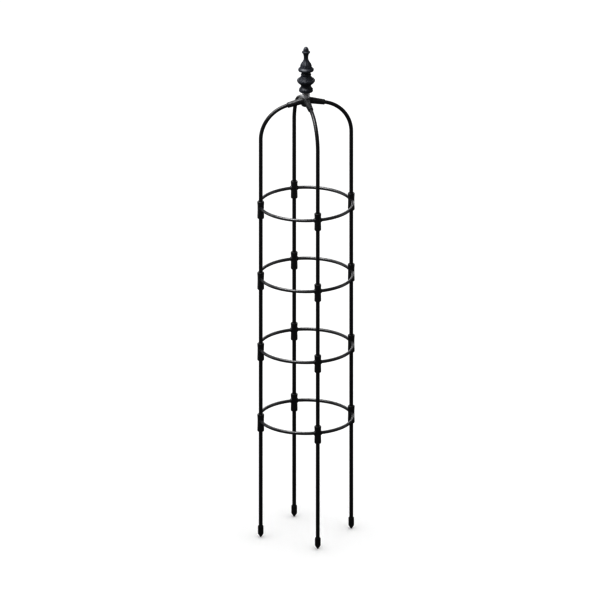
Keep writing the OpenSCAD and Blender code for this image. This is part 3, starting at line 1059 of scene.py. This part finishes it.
class OBELISK_OT_top_hub(Operator):
    """Build the hub, with its four sloping arms and the socket for the stem"""

    bl_idname = "obelisk.top_hub"
    bl_label = "Top hub"

    columns = 96
    past = 4 * MM

    def along_arm(self, leg):
        """Where an arm starts, with +Z running out along it."""
        out = Matrix.Rotation(math.pi / 2 + ARM_SLOPE, 4, "Y")
        return Matrix.Translation((0, 0, CROWN_Z)) @ Matrix.Rotation(leg_turn(leg), 4, "Z") @ out

    def execute(self, context):
        scene = context.scene
        trim = scene.obelisk_trim
        finish = moulded_finish("hub_finish", scene.obelisk_finishes)
        low, high = HUB_BOX[0].z, HUB_BOX[1].z
        arm_length = ARM_REACH / math.cos(ARM_SLOPE)
        boss = [
            [0, low], [HUB_R - HUB_CHAMFER, low], [HUB_R, low + HUB_CHAMFER], [HUB_R, high - trim.edge],
            [HUB_R - trim.edge, high], [0, high],
        ]
        arm = [[0, 0], [ARM_ROOT_R, 0], [ARM_MOUTH_R, arm_length], [0, arm_length]]
        solids = [skin("boss", turned(divided(eased(boss, 2 * trim.edge), 2 * MM), self.columns))]
        tools = []
        stop = (HUB_R + ARM_STOP) / math.cos(ARM_SLOPE)
        mouth_r = SOCKET_R + 0.6 * LEAD_IN
        socket = [
            [0, stop], [SOCKET_R, stop], [SOCKET_R, arm_length - 0.5 * LEAD_IN],
            [mouth_r, arm_length + 0.1 * LEAD_IN], [mouth_r, arm_length + self.past],
            [0, arm_length + self.past],
        ]
        for leg in LEGS:
            solid = skin("arm", turned(divided(eased(arm, trim.edge), 2 * MM), self.columns))
            solid.transform(self.along_arm(leg))
            solids.append(solid)
            tool = skin("arm_socket", turned(divided(np.array(socket), 3 * MM), TUBE_COLUMNS))
            tool.transform(self.along_arm(leg))
            tools.append(tool)
        stem_r = STEM_R + SOCKET_GAP
        stem_socket = [
            [0, STEM_BOX[0].z], [stem_r, STEM_BOX[0].z], [stem_r, high - 0.5 * MM],
            [stem_r + 1.5 * MM, high + 1 * MM], [stem_r + 1.5 * MM, high + self.past], [0, high + self.past],
        ]
        tools.append(skin("stem_socket", turned(divided(np.array(stem_socket), 3 * MM), self.columns)))
        rough = joined("hub", solids)
        remesh = ("REMESH", {"mode": "VOXEL", "voxel_size": trim.voxel})
        melt = ("SMOOTH", {"factor": 0.6, "iterations": 8})
        blended = settled(rough, remesh, melt)
        mesh = settled(blended, tools=tools)
        place("top_hub", mesh, finish, "moulded_black")
        return {"FINISHED"}


class OBELISK_OT_stem(Operator):
    """Build the bare metal stem that carries the finial"""

    bl_idname = "obelisk.stem"
    bl_label = "Stem"

    def execute(self, context):
        finish = stem_finish("stem_finish", context.scene.obelisk_finishes)
        low, high = STEM_BOX

        def path(along):
            return stacked(0, 0, low.z + along), stacked(1, 0, 0), stacked(0, 1, 0)

        section = tube_section(high.z - low.z, STEM_R, STEM_WALL, 3 * MM)
        place("finial_stem", tube_mesh("finial_stem", path, section, 0.7), finish, "stem_metal")
        return {"FINISHED"}


class OBELISK_OT_finial(Operator):
    """Build the turned and carved finial, with the bore that drops over the stem"""

    bl_idname = "obelisk.finial"
    bl_label = "Finial"

    gap = 0.9 * MM
    ease = 0.7 * MM

    def heights(self, sizes):
        """The heights of the finial's parts above its foot."""
        names = ("waist", "bowl", "neck", "bead", "gorge", "brim", "bell", "throat", "cup", "tip")
        steps = (
            sizes.waist_h, sizes.bowl_h, sizes.roof_h, sizes.bead_h, sizes.gorge_h, sizes.brim_h,
            sizes.bell_foot_h, sizes.bell_h, sizes.cup_h, sizes.bud_h,
        )
        return dict(zip(names, np.cumsum(steps)))

    def outline(self, sizes, level):
        """The outline from the top of the bore, out over the foot and up to the tip."""
        rim = sizes.rim_edge
        base_r = sizes.base_d / 2
        bore_r = STEM_R + FINIAL_GAP

        def at(part, above=0.0, beyond=0.0):
            return [getattr(sizes, part + "_d") / 2 + beyond, level[part] + above]

        roof_out = sizes.bowl_d / 2 - 3 * rim
        roof_in = sizes.neck_d / 2
        tread = (roof_out - roof_in) / 3
        riser = (sizes.roof_h - rim) / 3
        roof = []
        for step in range(3):
            roof.append([roof_out - step * tread, level["bowl"] + rim + step * riser])
            roof.append([roof_out - (step + 0.5) * tread, level["bowl"] + rim + (step + 1) * riser])
        turn = np.linspace(0, math.pi / 2, CURVE_STEPS)
        bud_low = level["cup"] + 2 * rim
        bud = np.column_stack(
            [sizes.bud_d / 2 * np.cos(turn), bud_low + (level["tip"] - bud_low) * np.sin(turn)]
        )
        bud[-1, 0] = 0
        stretches = [
            [[0, FINIAL_SEAT], [bore_r, FINIAL_SEAT], [bore_r, 0.5 * rim], [bore_r + 0.5 * rim, 0]],
            [[base_r - rim, 0], [base_r, rim]],
            ogee([base_r, sizes.base_edge], at("waist")),
            ogee(at("waist", rim / 2), at("bowl", -sizes.bowl_edge)),
            [at("bowl", 0.2 * rim), at("bowl", 0.7 * rim, -rim)],
            roof,
            [[roof_in, level["neck"] + rim]],
            [at("bead", -rim), at("bead", rim)],
            cove(at("bead", 1.5 * rim, -rim), at("gorge")),
            ogee(at("gorge", rim / 2), at("brim", -sizes.brim_edge)),
            ogee(at("brim", rim / 2), at("bell")),
            ogee(at("bell", rim), at("throat")),
            flare(at("throat", rim / 2), at("cup", -sizes.cup_edge)),
            [at("cup", 0.8 * rim), [sizes.bud_d / 2 + rim / 2, level["cup"] + 1.6 * rim]],
            bud,
        ]
        corners = np.vstack([np.asarray(stretch, float) for stretch in stretches])
        return divided(eased(corners, self.ease, 3), self.gap)

    def carving(self, sizes, level):
        """What the lobes, leaves, flutes and ribs take off the radius, as a function of place."""
        inner_r = STEM_R + 3 * MM
        rim = sizes.rim_edge

        def band(heights, low, high, ease):
            return fade(heights, low, low + ease) * (1 - fade(heights, high - ease, high))

        def taken(radius, heights, turn):
            lobe = 1 - np.abs(np.cos(sizes.base_lobes * turn / 2)) ** 0.8
            leaf = 1 - np.abs(np.cos(sizes.leaves * turn / 2))
            flute = np.abs(np.sin(sizes.leaves * turn / 2))
            rib = sizes.rib_depth
            base = sizes.base_depth * band(heights, 0.2 * rim, level["waist"] - rim, 2 * rim) * lobe
            leafy = band(heights, level["waist"] + rim, level["bowl"] + rim, 1.2 * rim)
            bowl = sizes.leaf_depth * leafy * leaf
            bowl = bowl * fade(radius, sizes.waist_d / 2, 0.7 * sizes.bowl_d / 2)
            roof = rib * band(heights, level["bowl"] + rim, level["neck"] + rim, rim) * flute
            bead = rib * band(heights, level["neck"] + 1.5 * rim, level["bead"] + 2 * rim, rim) * leaf
            under = 1.3 * rib * band(heights, level["gorge"], level["brim"] + rim, rim) * leaf
            foot = band(heights, level["bell"] - 2 * rim, level["bell"] + 6 * rim, 2 * rim)
            bell = band(heights, level["bell"], level["throat"] + 4 * rim, 3 * rim)
            narrow = np.clip(radius / (sizes.bell_d / 2), 0.35, 1)
            fluted = sizes.flute_depth * narrow * (bell * flute + 0.5 * foot * (1 - leaf))
            cup = rib * band(heights, level["throat"] + 2 * rim, level["cup"] + rim, 2 * rim) * leaf
            total = base + bowl + roof + bead + under + fluted + cup
            return np.where(radius > inner_r, -total, np.where(heights > FINIAL_SEAT + 1 * MM, -total, 0))

        return taken

    def execute(self, context):
        scene = context.scene
        sizes = scene.obelisk_finial
        level = self.heights(sizes)
        outline = self.outline(sizes, level)
        mesh = skin("finial", turned(outline, FINIAL_COLUMNS, self.carving(sizes, level)))
        mesh.transform(Matrix.Translation((0, 0, FINIAL_BOX[0].z)))
        place("finial", mesh, resin_finish("resin_finish", scene.obelisk_finishes), "finial_resin", "finial")
        return {"FINISHED"}


# ---- Panel and registration ---------------------------------------------------------------


BUILD_STEPS = (
    OBELISK_OT_stage,
    OBELISK_OT_leg_tubes,
    OBELISK_OT_arch_tubes,
    OBELISK_OT_ring_tubes,
    OBELISK_OT_connectors,
    OBELISK_OT_spikes,
    OBELISK_OT_top_hub,
    OBELISK_OT_stem,
    OBELISK_OT_finial,
)


SETTINGS = {
    "obelisk_finial": ObeliskFinialSizes,
    "obelisk_trim": ObeliskTrimSizes,
    "obelisk_finishes": ObeliskFinishes,
    "obelisk_stage": ObeliskStage,
}


class OBELISK_PT_build(Panel):
    """Lists the build steps in order"""

    bl_idname = "OBELISK_PT_build"
    bl_label = "Garden Obelisk"
    bl_space_type = "VIEW_3D"
    bl_region_type = "UI"
    bl_category = "Obelisk"

    def draw(self, context):
        for step in BUILD_STEPS:
            self.layout.operator(step.bl_idname)
        for group in SETTINGS:
            settings = getattr(context.scene, group)
            column = self.layout.column(align=True)
            for key in settings.bl_rna.properties.keys():
                if key not in ("rna_type", "name"):
                    column.prop(settings, key)


CLASSES = (*SETTINGS.values(), *BUILD_STEPS, OBELISK_PT_build)


def register():
    for cls in CLASSES:
        bpy.utils.register_class(cls)
    for name, group in SETTINGS.items():
        setattr(bpy.types.Scene, name, PointerProperty(type=group))


def unregister():
    for name in SETTINGS:
        delattr(bpy.types.Scene, name)
    for cls in reversed(CLASSES):
        bpy.utils.unregister_class(cls)


def main():
    """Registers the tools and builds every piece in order."""
    register()
    bpy.ops.obelisk.stage()
    bpy.ops.obelisk.leg_tubes()
    bpy.ops.obelisk.arch_tubes()
    bpy.ops.obelisk.ring_tubes()
    bpy.ops.obelisk.connectors()
    bpy.ops.obelisk.spikes()
    bpy.ops.obelisk.top_hub()
    bpy.ops.obelisk.stem()
    bpy.ops.obelisk.finial()


if __name__ == "__main__":
    main()
